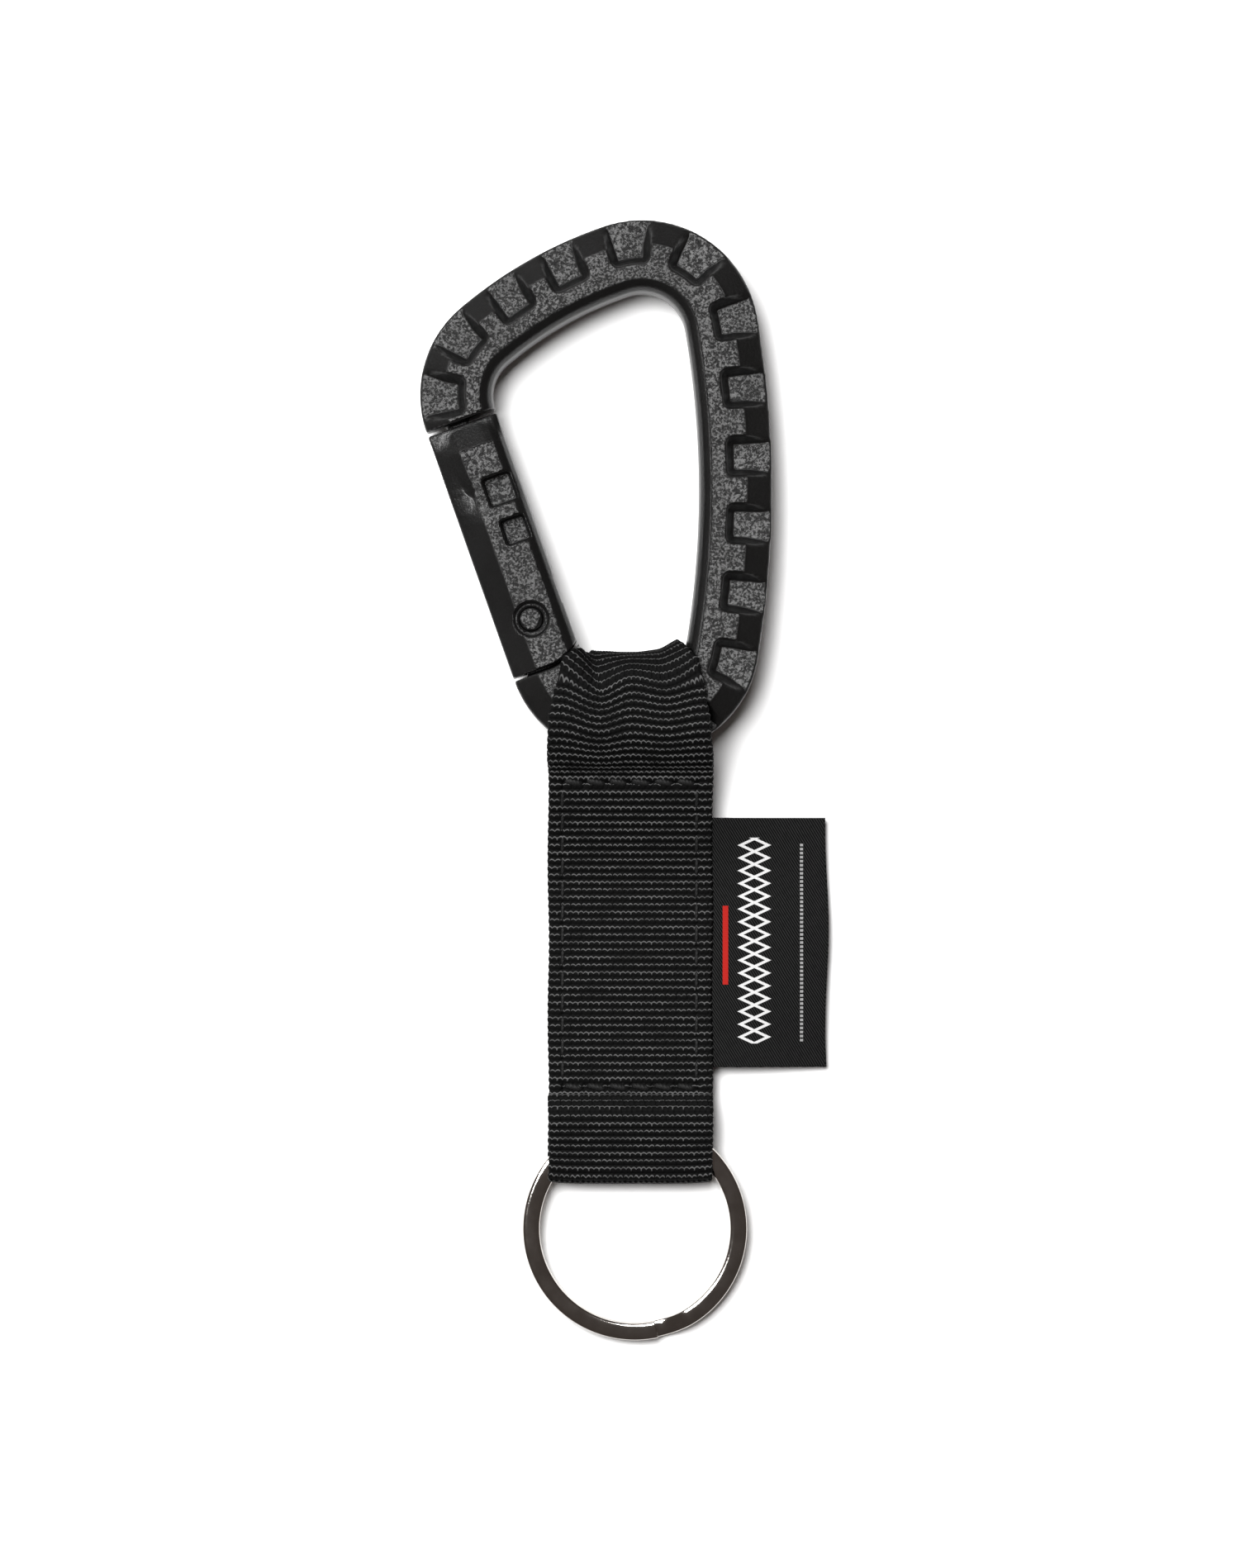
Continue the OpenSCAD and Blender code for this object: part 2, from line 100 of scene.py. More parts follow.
class Finish:
    """A material with one Principled shader, built from short expressions."""

    def __init__(self, name, **settings):
        self.made = bpy.data.materials.new(name)
        self.made.use_nodes = True
        self.tree = self.made.node_tree
        self.shader = self.tree.nodes["Principled BSDF"]
        for socket, value in settings.items():
            self.shader.inputs[socket.replace("_", " ")].default_value = value

    def node(self, kind, settings, *values, out=0):
        made = self.tree.nodes.new(kind)
        for name, value in settings.items():
            setattr(made, name, value)
        for place, value in enumerate(values):
            if isinstance(value, Link):
                self.tree.links.new(value.socket, made.inputs[place])
            elif value is not None:
                made.inputs[place].default_value = value
        return Link(self, made.outputs[out])

    def place(self, out="Object"):
        return self.node("ShaderNodeTexCoord", {}, out=out)

    def parts(self, vector):
        split = self.node("ShaderNodeSeparateXYZ", {}, vector)
        return [Link(self, o) for o in split.socket.node.outputs]

    def noise(self, vector, scale, detail=2.0, rough=0.5):
        return self.node("ShaderNodeTexNoise", {}, vector, None, scale, detail, rough)

    def ramp(self, value, low, high):
        settings = {"clamp": True, "interpolation_type": "SMOOTHSTEP"}
        return self.node("ShaderNodeMapRange", settings, value, low, high, 0.0, 1.0)

    def mix(self, share, first, second):
        made = self.tree.nodes.new("ShaderNodeMix")
        made.data_type = "RGBA"
        for place, value in ((0, share), (6, first), (7, second)):
            if isinstance(value, Link):
                self.tree.links.new(value.socket, made.inputs[place])
            else:
                made.inputs[place].default_value = value
        return Link(self, made.outputs[2])

    def feed(self, socket, link):
        self.tree.links.new(link.socket, self.shader.inputs[socket])

    def bump(self, height, distance, strength=1.0):
        self.feed("Normal", self.node("ShaderNodeBump", {}, strength, distance, None, height))


def grey(level, warm=0.0):
    return (level * (1 + warm), level, level * (1 - warm), 1.0)


def moulded_nylon():
    """Black nylon: spark-eroded grain with painted glints, pale specks in the colour, on faces that look
    up or down; a finer satin on the rest.
    """
    finish = Finish("black_nylon_grain", Specular_IOR_Level=0.45)
    place = finish.place()
    upright = finish.parts(finish.place("Normal"))[2]
    flat = finish.ramp(upright.maths("ABSOLUTE"), 0.93, 0.99)
    # Fine grain noise: it makes the bump of the spark-eroded grain and also places the painted glint
    # specks.
    grain_and_glint_noise = finish.noise(place, 2600.0, 3.0, 0.75)
    coarse = finish.noise(place, 1100.0, 2.0)
    glint = finish.ramp(grain_and_glint_noise + (coarse - 0.5) * 0.3, 0.45, 0.6)
    # Random patches that vary the roughness and how bright the painted glints are.
    wear_and_sheen = finish.noise(place, 130.0, 3.0)
    # Painted highlight: pale glint specks in the base colour, only on faces that look up or down, where
    # the overhead light would be mirrored.
    shade = finish.mix(glint * flat * (0.35 + wear_and_sheen * 0.75), grey(0.0035), grey(0.17))
    finish.feed("Base Color", shade)
    finish.feed("Roughness", 0.32 + flat * 0.16 - glint * flat * 0.14 + (wear_and_sheen - 0.5) * 0.12)
    finish.bump(grain_and_glint_noise * (0.12 + flat * 0.88), 0.0004)
    return finish.made


def make_active(piece):
    bpy.ops.object.select_all(action="DESELECT")
    piece.select_set(True)
    bpy.context.view_layer.objects.active = piece


def copy_of(node, name):
    """A free copy of a CAD node, for a piece that stands for it."""
    piece = frame["nodes"][node].copy()
    piece.data = piece.data.copy()
    piece.parent = None
    piece.name = name
    for key in list(piece.keys()):
        del piece[key]
    bpy.context.scene.collection.objects.link(piece)
    return piece


def repaint(piece, material):
    piece.data.materials.clear()
    piece.data.materials.append(material)


def moulding(node, name, body, grain):
    """A fine, slightly softened skin over a CAD moulding; grain is the skin's cell size in metres."""
    piece = copy_of(node, name)
    make_active(piece)
    bpy.ops.object.mode_set(mode="EDIT")
    bpy.ops.mesh.select_all(action="SELECT")
    bpy.ops.mesh.remove_doubles(threshold=0.000002)
    bpy.ops.object.mode_set(mode="OBJECT")
    skin = piece.modifiers.new("skin", "REMESH")
    skin.mode = "VOXEL"
    skin.voxel_size = grain
    soft = piece.modifiers.new("soft", "SMOOTH")
    soft.factor = 0.5
    soft.iterations = 3
    for made in ("skin", "soft"):
        bpy.ops.object.modifier_apply(modifier=made)
    piece.data.polygons.foreach_set("use_smooth", [True] * len(piece.data.polygons))
    repaint(piece, nylon)
    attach(piece, body)
    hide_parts(node)
    return piece


nylon = moulded_nylon()
moulding("carabiner_frame", "frame_moulding", "carabiner", 0.00027)


# ---- Gate
# A second moulding of the same nylon, which snaps over the frame's pivot bosses and has two core windows.
# A shallow facet ends its front face, with an ejector's round mark below it and a slanting thumb dip.

gate_moulding = moulding("gate", "gate_moulding", "gate", 0.00021)

hinge = next(j for j in frame["joints"] if j["name"] == "gate_hinge")
slide = next(j for j in frame["joints"] if j["name"] == "plunger_slide")
pivot = Vector(hinge["pos_m"])
along = Vector(slide["axis"])
upward = -Vector(hinge["axis"])
inward = along.cross(upward)


def points_of(piece):
    spots = np.empty(len(piece.data.vertices) * 3)
    piece.data.vertices.foreach_get("co", spots)
    return spots.reshape(-1, 3)


def dress_gate():
    """Ejector mark, slanting thumb dip and end facet, pressed into the front face. Sizes in mm."""
    spots = points_of(gate_moulding)
    local = spots - np.array(pivot)
    v = local @ np.array(along) / MM
    u = local @ np.array(inward) / MM
    w = local @ np.array(upward) / MM
    face = np.clip((w - 2.2) / 1.6, 0, 1)
    mark_radius = 0.85
    mark = np.hypot(u - 0.2, v - 25.6)
    rim = 0.11 * np.exp(-((mark - mark_radius) / 0.16) ** 2)
    dip_middle, dip_reach = 19.6, 3.0
    band = v - dip_middle + 0.55 * u
    dip = 0.5 * np.exp(-(band / dip_reach) ** 2) * np.clip((2.0 - u) / 3.6, 0, 1) ** 1.5
    dip = dip * np.clip((u + 5.2) / 3.0, 0, 1)
    facet_start, facet_length = 27.4, 3.9
    facet = np.clip((v - facet_start) / facet_length, 0, 1)
    spots -= np.outer(face * (rim + dip + facet) * MM, np.array(upward))
    gate_moulding.data.vertices.foreach_set("co", spots.ravel())
    gate_moulding.data.update()


dress_gate()


# ---- Gate spring and plunger
# Bright music wire, wound to nine turns, and a small smooth acetal plunger that bears on the pivot's toe.
# Both keep the exact CAD shape inside the gate's bore.


def drawn_wire():
    finish = Finish("bright_spring_wire", Metallic=1.0)
    streaks = finish.noise(finish.place(), 2600.0, 3.0)
    finish.feed("Base Color", finish.mix(streaks, grey(0.42), grey(0.66, 0.02)))
    finish.feed("Roughness", 0.22 + streaks * 0.2)
    finish.bump(streaks, 0.00002)
    return finish.made


def acetal():
    finish = Finish("grey_acetal")
    mottle = finish.noise(finish.place(), 900.0, 3.0)
    finish.feed("Base Color", finish.mix(mottle, grey(0.085), grey(0.115)))
    finish.feed("Roughness", 0.34 + mottle * 0.15)
    finish.bump(mottle, 0.00002)
    return finish.made


repaint(frame["nodes"]["spring_plunger"], acetal())


def coil_spring():
    """A copy of the spring, repainted and carried by the gate; the share of its length left when the
    plunger comes in is worked out but not used.
    """
    spring = copy_of("gate_spring", "coil_spring")
    repaint(spring, drawn_wire())
    places = (points_of(spring) - np.array(pivot)) @ np.array(along)
    length = places.max() - places.min()
    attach(spring, "gate")
    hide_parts("gate_spring")
    travel = max(abs(end) for end in slide["range_m"])
    (length - travel) / length
    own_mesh(spring)


coil_spring()


# ---- Webbing strap
# One strip of 25 mm ribbed nylon webbing, 1.2 mm thick, wound back on itself in three layers.
# Each piece is a closed ribbed sheet; ribs run across it every 1.15 mm, with floats crossing them.

RIB = 1.15
FLOAT = 0.8
THICK = 1.2
HALF_WIDTH = 12.5
front_low, front_high = (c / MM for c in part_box("strap_front_panel"))
MIDDLE = (front_low.x + front_high.x) / 2
PANEL_TOP = front_high.y
PANEL_END = front_low.y
LIFT = front_high.z - 3 * THICK
LIFT_RUN = 18.0


def woven_nylon():
    """Black ribs, each with a painted highlight: a pale wavy line where the floats on its crest would
    catch the light. UV holds mm across and ribs along.
    """
    finish = Finish("ribbed_nylon_webbing", Specular_IOR_Level=0.07)
    across, ribs, _ = finish.parts(finish.place("UV"))
    place = finish.place()
    phase = ribs.maths("FRACT")
    odd = (ribs * 0.5).maths("FRACT").maths("GREATER_THAN", 0.5)
    drift = finish.noise(place, 210.0, 2.0)
    float_at = (across / FLOAT + odd * 0.5 + drift * 0.8).maths("FRACT")
    arch = (float_at * math.pi).maths("SINE")
    line = 0.6 + arch * 0.2 + (finish.noise(place, 900.0) - 0.5) * 0.16
    # Painted highlight: a thin pale line along each rib's upper flank, wavy over the floats, standing in
    # for the light the crests catch.
    lit = 1.0 - finish.ramp((phase - line).maths("ABSOLUTE"), 0.03, 0.115)
    pair = (across / (2 * FLOAT) + odd * 0.25 + drift * 0.4).maths("FRACT")
    gap = finish.ramp((pair - 0.5).maths("ABSOLUTE"), 0.02, 0.1)
    tick = (1.0 - finish.ramp((pair - 0.5).maths("ABSOLUTE"), 0.025, 0.08)) * odd
    tick = tick * finish.ramp(phase, 0.3, 0.5) * (1.0 - finish.ramp(phase, 0.7, 0.8))
    broken = lit * (odd + (1.0 - odd) * gap)
    patchy = finish.ramp(finish.noise(place, 320.0, 2.0), 0.3, 0.62)
    # thread holds the painted highlight, not a yarn of another colour: the pale lines with their gaps and
    # ticks, fainter in random patches.
    thread = (broken + tick * patchy) * (0.45 + 0.55 * patchy)
    fibres = finish.noise(place, 5200.0, 2.0)
    # The pale grey is the painted highlight's colour on the black webbing.
    finish.feed("Base Color", finish.mix(thread * (0.45 + fibres), grey(0.0015), grey(0.085)))
    finish.feed("Roughness", 0.62 + fibres * 0.2)
    finish.bump(fibres, 0.00004)
    return finish.made


webbing = woven_nylon()


def rib_height(ribs, across):
    """Height in mm of the woven surface over its own middle surface."""
    phase = ribs % 1.0
    row = np.floor(ribs) % 2
    hump = 0.25 * np.sqrt(np.clip(np.sin(np.pi * phase), 0, 1)) * (0.72 + 0.5 * phase)
    float_at = (across / FLOAT + 0.5 * row) % 1.0
    scallop = 0.07 * np.sin(np.pi * float_at)
    pair = (across / (2 * FLOAT) + 0.25 * row) % 1.0
    notch = 0.11 * np.exp(-((pair - 0.5) / 0.06) ** 2)
    return hump + scallop - notch - 0.2


def facing(middle):
    """Unit normals of a grid of points."""
    normal = np.cross(np.gradient(middle, axis=1), np.gradient(middle, axis=0))
    return normal / np.linalg.norm(normal, axis=2, keepdims=True)


def there_and_back(grid_values):
    return np.concatenate([grid_values, grid_values[:, ::-1]], axis=1)


def shell(front, back):
    """Points and faces of the closed shell between two grids of points."""
    rows, columns = front.shape[:2]
    loop = 2 * columns
    start = np.arange(rows - 1)[:, None] * loop
    here = np.arange(loop)[None, :]
    after = (here + 1) % loop
    sides = np.stack([start + here, start + after, start + loop + after, start + loop + here], -1)
    near = np.arange(columns - 1)
    first_end = np.stack([near, loop - 1 - near, loop - 2 - near, near + 1], -1)
    last_end = (rows - 1) * loop + first_end[:, ::-1]
    faces = sides.reshape(-1, 4).tolist() + first_end.tolist() + last_end.tolist()
    return np.concatenate([front, back[:, ::-1]], axis=1).reshape(-1, 3), faces


def closed_piece(name, spots, faces, material, flat=None):
    """A smooth closed mesh from points in mm. A flat array gives each point's place in the weave."""
    mesh = bpy.data.meshes.new(name)
    mesh.from_pydata((spots * MM).tolist(), [], faces)
    if flat is not None:
        corners = np.empty(len(mesh.loops), dtype=np.int32)
        mesh.loops.foreach_get("vertex_index", corners)
        weave = mesh.uv_layers.new(name="weave")
        weave.data.foreach_set("uv", flat.reshape(-1, 2)[corners].ravel())
    mesh.polygons.foreach_set("use_smooth", [True] * len(mesh.polygons))
    mesh.materials.append(material)
    piece = bpy.data.objects.new(name, mesh)
    bpy.context.scene.collection.objects.link(piece)
    make_active(piece)
    bpy.ops.object.mode_set(mode="EDIT")
    bpy.ops.mesh.select_all(action="SELECT")
    bpy.ops.mesh.normals_make_consistent(inside=False)
    bpy.ops.object.mode_set(mode="OBJECT")
    return piece


def webbing_sheet(name, middle, ribs, across):
    """Webbing round a grid of middle points, ribbed on both sides and thinner at its selvedges."""
    normal = facing(middle)
    edge = np.clip((HALF_WIDTH - np.abs(across)) / 0.55, 0, 1)
    body = THICK / 2 * (0.42 + 0.58 * np.sqrt(1 - (1 - edge) ** 2))
    out = normal * (body + rib_height(ribs, across) * edge ** 0.5)[..., None]
    spots, faces = shell(middle + out, middle - out)
    flat = np.stack([there_and_back(across), there_and_back(ribs)], -1)
    return closed_piece(name, spots, faces, webbing, flat)


def slope(y):
    """Lift of the panel's layers towards the bar, as the CAD has it."""
    share = np.clip((y - PANEL_TOP + LIFT_RUN) / LIFT_RUN, 0, 1)
    return LIFT * (2 * share ** 2 - share ** 3)


def eased(x, spots, values):
    """Smooth curve through a few given values."""
    spots, values = np.array(spots, float), np.array(values, float)
    index = np.clip(np.searchsorted(spots, x) - 1, 0, len(spots) - 2)
    share = np.clip((x - spots[index]) / (spots[index + 1] - spots[index]), 0, 1)
    share = share * share * (3 - 2 * share)
    return values[index] * (1 - share) + values[index + 1] * share


def grid(first, last, columns=157, per_rib=7):
    """Rib counts along the strip, and places across it in mm."""
    rows = int(round((last - first) * per_rib)) + 1
    ribs, across = np.meshgrid(
        np.linspace(first, last, rows), np.linspace(-HALF_WIDTH, HALF_WIDTH, columns), indexing="ij"
    )
    return ribs, across


def selvedge(ribs, across):
    """The edges' scallops, one to each rib, and a faint wander of the strip's edges."""
    share = np.clip((np.abs(across) - 11.6) / 0.9, 0, 1)
    bulge = 0.16 * (np.abs(np.sin(np.pi * ribs)) - 0.6) + 0.1 * np.sin(ribs * 0.31 + np.sign(across))
    return np.sign(across) * share * bulge


STITCH_ROWS = (-0.2, -46.6)
STITCH_COLUMNS = (-9.2, 11.2)
STITCH_PITCH = 3.42


def between(value, low, high, soft=0.5):
    """1 inside a span and 0 outside it, with soft ends."""
    return np.clip((value - low) / soft, 0, 1) * np.clip((high - value) / soft, 0, 1)


def to_hole(place):
    """Distance in mm to the nearest needle hole of a seam."""
    share = place / STITCH_PITCH % 1.0
    return np.minimum(share, 1 - share) * STITCH_PITCH


def sewn_in(x, y):
    """How far the seams pull the surface down, in mm, with a dip at each needle hole."""
    pull = np.zeros_like(x)
    past_end = 0.8
    inside = between(x, STITCH_COLUMNS[0] - past_end, STITCH_COLUMNS[1] + past_end)
    for row in STITCH_ROWS:
        dip = 0.18 + 0.4 * np.exp(-(to_hole(x - MIDDLE) / 0.45) ** 2)
        pull += inside * np.exp(-((y - row) / 0.7) ** 2) * dip
    middle_y = sum(STITCH_ROWS) / 2
    inside = between(y, STITCH_ROWS[1], STITCH_ROWS[0])
    for column in STITCH_COLUMNS:
        dip = 0.1 + 0.18 * np.exp(-(to_hole(y - middle_y + STITCH_PITCH / 2) / 0.35) ** 2)
        pull += inside * np.exp(-((x - column) / 0.4) ** 2) * dip
    return pull


def panel(name, level, node, side, per_rib=7, columns=157):
    """One sewn layer at a height over the table; side is 1 if seams show on top, -1 below, 0 between."""
    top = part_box(node)[1].y / MM
    ribs, across = grid((PANEL_END - PANEL_TOP) / RIB, (top - PANEL_TOP) / RIB, columns, per_rib)
    y = PANEL_TOP + ribs * RIB
    x = MIDDLE + across + selvedge(ribs, across)
    z = level + slope(y) - side * 0.6 * sewn_in(x, y)
    piece = webbing_sheet(name, np.stack([x, y, z], -1), ribs, across)
    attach(piece, "strap")
    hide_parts(node)


panel("webbing_front_panel", 2.5 * THICK, "strap_front_panel", 1)
panel("webbing_tail_layer", 1.5 * THICK, "strap_tail_layer", 0, 3, 79)
panel("webbing_back_panel", 0.5 * THICK, "strap_back_panel", -1)


# ---- Strap's loop over the bar and fold round the ring
# The same strip, turned over the carabiner's lower bar and, at its other end, folded round the ring.
# It narrows as it crosses the bar, and gathers between the bar's corners where it turns down.


def smooth_path(points):
    """A path through points, rounded and cut into even steps of 0.05 mm: places and arc lengths."""
    points = np.array(points, float)
    lengths = np.concatenate([[0], np.cumsum(np.linalg.norm(np.diff(points, axis=0), axis=1))])
    fine = np.arange(0, lengths[-1], 0.05)
    path = np.stack([np.interp(fine, lengths, points[:, k]) for k in (0, 1)], -1)
    kernel = np.exp(-np.linspace(-2.2, 2.2, 41) ** 2)
    kernel /= kernel.sum()
    first, last = path[0], path[-1]
    ahead = first - (path[1:21] - first)[::-1]
    beyond = last - (path[-21:-1] - last)[::-1]
    longer = np.concatenate([ahead, path, beyond])
    path = np.stack([np.convolve(longer[:, k], kernel, "valid") for k in (0, 1)], -1)
    path[0], path[-1] = first, last
    arcs = np.concatenate([[0], np.cumsum(np.linalg.norm(np.diff(path, axis=0), axis=1))])
    return path, arcs


def turned(radius, centre, first, last, steps=24):
    """Points of an arc in the side plane, angles in degrees from +Y."""
    angles = np.radians(np.linspace(first, last, steps))
    return [(centre[0] + radius * math.cos(a), centre[1] + radius * math.sin(a)) for a in angles]


def finish_loop(node):
    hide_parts(node)


def top_loop():
    turn_y, turn_z, turn_radius = 14.275, 6.225, 5.65
    front_start = 2.5 * THICK + LIFT
    back_end = 0.5 * THICK + LIFT
    over = [(PANEL_TOP, front_start), (2.3, 7.9), (3.4, 9.35), (5.5, 10.75), (7.5, 11.7), (9.5, 11.9)]
    under = [(8, 0.6), (5.9, 0.75), (4.4, 1.5), (3.0, 2.9), (1.9, 4.2), (PANEL_TOP, back_end)]
    path, arcs = smooth_path(over + turned(turn_radius, (turn_y, turn_z), 90, -90) + under)
    count = 2 * round(arcs[-1] / RIB / 2)
    ribs, across = grid(0, count)
    at = ribs / count * arcs[-1]
    y = np.interp(at, arcs, path[:, 0])
    z = np.interp(at, arcs, path[:, 1])
    on_top = z > turn_z
    # plan edges over the bar, which taper towards the fold
    left_at = (1.1, 3.3, 9, 12.3, 16, 18.2, 19.3, 19.925)
    left = eased(y, left_at, (-11.4, -11.5, -11.2, -10.5, -9.3, -7.9, -7.0, -5.2))
    right_at = (1.1, 3.3, 9, 13, 16.2, 18.2, 19.3, 19.925)
    right = eased(y, right_at, (13.6, 13.6, 13.2, 12.6, 11.5, 10.3, 9.4, 8.6))
    side = np.clip(across / HALF_WIDTH, -1, 1)
    x = (left + right) / 2 + (right - left) / 2 * side
    x += selvedge(ribs, across)
    # squarer turn at the edges than in the middle, which is drawn in
    squared = np.abs(side) ** 3
    past = np.clip((y - turn_y) / turn_radius, 0, 1)
    rise = np.clip((z - turn_z) / turn_radius, -1, 1)
    power = 1 - 0.42 * squared
    corner_y = turn_y + (turn_radius + 1.2 * squared) * past ** power
    corner_z = turn_z + turn_radius * np.sign(rise) * np.abs(rise) ** power
    turning = y > turn_y
    y = np.where(turning, corner_y, y)
    z = np.where(turning, corner_z, z)
    middle = np.exp(-((x - 0.2) / 4.6) ** 4)
    y -= 0.95 * middle * past ** 1.5
    # the crease that runs from the fold's left end down across the loop
    line = -4.5 + (18.1 - y) * 0.32
    deep = np.clip((y - 8.2) / 6, 0, 1) * on_top
    crease = np.exp(-((x - line) / 1.7) ** 2)
    z -= 0.4 * crease * deep * np.clip(rise, 0, 1)
    y -= 1.5 * crease * past + 0.5 * past * np.exp(-((x - 5.8) / 1.6) ** 2)
    # ribs wander forward at the edges and back in the middle, and stay on the loop's slope
    shift = eased(x, (-12, -9.7, -3.4, 1.4, 6.4, 12.3, 14), (0.9, 0.8, -1.8, 0.1, -0.75, 0.6, 0.7))
    weight = np.clip((y - 2) / 13, 0, 1) * on_top * np.clip(1.25 - past * 1.2, 0, 1)
    front_part = path[: len(path) // 3]
    moved = np.interp(np.clip(y + shift * weight, None, turn_y), front_part[:, 0], front_part[:, 1])
    before = np.interp(np.clip(y, None, turn_y), front_part[:, 0], front_part[:, 1])
    z = np.where(on_top & (y < turn_y), z + moved - before, z)
    y = y + shift * weight
    piece = webbing_sheet("webbing_top_loop", np.stack([x, y, z], -1), ribs, across)
    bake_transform(piece)
    finish_loop("strap_top_loop")


def ring_fold():
    tuck = PANEL_END - 2.3
    end = -61.3
    under = [(PANEL_END, 1.5 * THICK), (tuck, 0.62), (end + 2.2, 0.62)]
    round_end = [(end + 1.0, 1.05), (end + 0.62, 2.1), (end + 0.62, 3.5), (end + 1.1, 4.5)]
    over = [(end + 2.2, 4.8), (tuck - 1.7, 5.15), (tuck, 5.0), (PANEL_END, 2.5 * THICK)]
    path, arcs = smooth_path(under + round_end + over)
    count = 2 * round(arcs[-1] / RIB / 2)
    ribs, across = grid(0, count)
    at = ribs / count * arcs[-1]
    y = np.interp(at, arcs, path[:, 0])
    z = np.interp(at, arcs, path[:, 1])
    y = y + 0.35 * np.clip((PANEL_END - 6 - y) / 6, 0, 1) * np.abs(across / HALF_WIDTH) ** 6
    x = MIDDLE + across + selvedge(ribs, across)
    piece = webbing_sheet("webbing_ring_fold", np.stack([x, y, z], -1), ribs, across)
    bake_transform(piece)
    finish_loop("strap_ring_loop")


top_loop()
ring_fold()


# ---- Seams
# Two rows across and two columns down, lock-stitched in black bonded thread, with a stitch each side.
# A stitch is a short pad of plied thread that dives into the webbing at both ends.


def bonded_thread():
    finish = Finish("black_bonded_thread", Specular_IOR_Level=0.12)
    fibres = finish.noise(finish.place(), 5200.0, 2.0)
    finish.feed("Base Color", finish.mix(fibres, grey(0.002), grey(0.014)))
    finish.feed("Roughness", 0.42 + fibres * 0.25)
    finish.bump(fibres, 0.00003)
    return finish.made


thread = bonded_thread()


def tube_faces(steps, around):
    """Faces of a closed tube of rings of points."""
    faces = []
    for k in range(steps - 1):
        for m in range(around):
            n = (m + 1) % around
            faces.append((k * around + m, k * around + n, (k + 1) * around + n, (k + 1) * around + m))
    faces.append(tuple(range(around))[::-1])
    faces.append(tuple((steps - 1) * around + m for m in range(around)))
    return faces


def stitch(centre, run, cross, up, length, width, height, steps=27, around=12):
    """Points of one plied pad, tapered and sunk at both ends."""
    s = np.linspace(-1, 1, steps)[:, None]
    a = np.linspace(0, 2 * np.pi, around, endpoint=False)[None, :]
    swell = np.sqrt(np.clip(1 - np.abs(s) ** 3.2, 0.02, 1))
    ply = 1 + 0.13 * np.cos(3 * (a - s * 5.2))
    wide = width / 2 * swell * ply * np.cos(a)
    tall = height / 2 * swell * ply * np.sin(a) - 0.3 * np.abs(s) ** 5
    spots = np.array(centre) + s[..., None] * length / 2 * np.array(run)
    spots = spots + wide[..., None] * np.array(cross) + tall[..., None] * np.array(up)
    return spots.reshape(-1, 3), tube_faces(steps, around)


def seam(node, along_x, line, spots, front):
    """A line of stitches on one side of the strap; the rows across use heavier, slanted stitches."""
    points, faces = [], []
    slant = math.radians(12)
    wide, tall, long = (0.95, 0.62, 2.9) if along_x else (0.55, 0.42, 3.0)
    outward = 1 if front else -1
    sunk = 0.06 if along_x else 0.05
    for number, spot in enumerate(spots):
        x, y = (spot, line) if along_x else (line, spot)
        rise = slope(y + 0.5) - slope(y - 0.5)
        level = (3 * THICK if front else 0) + slope(y) - sunk * outward
        if along_x:
            run = Vector((math.cos(slant), -math.sin(slant), 0))
        else:
            run = Vector((0.03, 1, rise)).normalized()
        up = Vector((0, -rise, 1)).normalized() * outward
        run = (run - up * run.dot(up)).normalized()
        length = long * (1 + 0.03 * math.sin(number * 2.3))
        some, more = stitch((x, y, level), run, up.cross(run), up, length, wide, tall)
        faces += [tuple(i + len(points) for i in f) for f in more]
        points += some.tolist()
    piece = closed_piece(node + "_stitches", np.array(points), faces, thread)
    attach(piece, "strap")
    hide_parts(node)


def even(centre, number):
    return [centre + (k - (number - 1) / 2) * STITCH_PITCH for k in range(number)]


row_centre = sum(STITCH_COLUMNS) / 2
column_centre = sum(STITCH_ROWS) / 2
for front, name in ((True, "front"), (False, "back")):
    seam("thread_top_" + name, True, STITCH_ROWS[0], even(row_centre, 6), front)
    seam("thread_bottom_" + name, True, STITCH_ROWS[1], even(row_centre, 6), front)
    seam("thread_left_" + name, False, STITCH_COLUMNS[0], even(column_centre, 13), front)
    seam("thread_right_" + name, False, STITCH_COLUMNS[1], even(column_centre, 13), front)


# ---- Label
# A soft woven ribbon, folded in two at its free edge, with its cut ends sewn in at the strap's right edge.
# Its weave is a fine diagonal twill, with two crossing white zigzags, a thin dashed line and a red bar.

label_low, label_high = (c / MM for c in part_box("label"))
tab_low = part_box("label_tab")[0] / MM


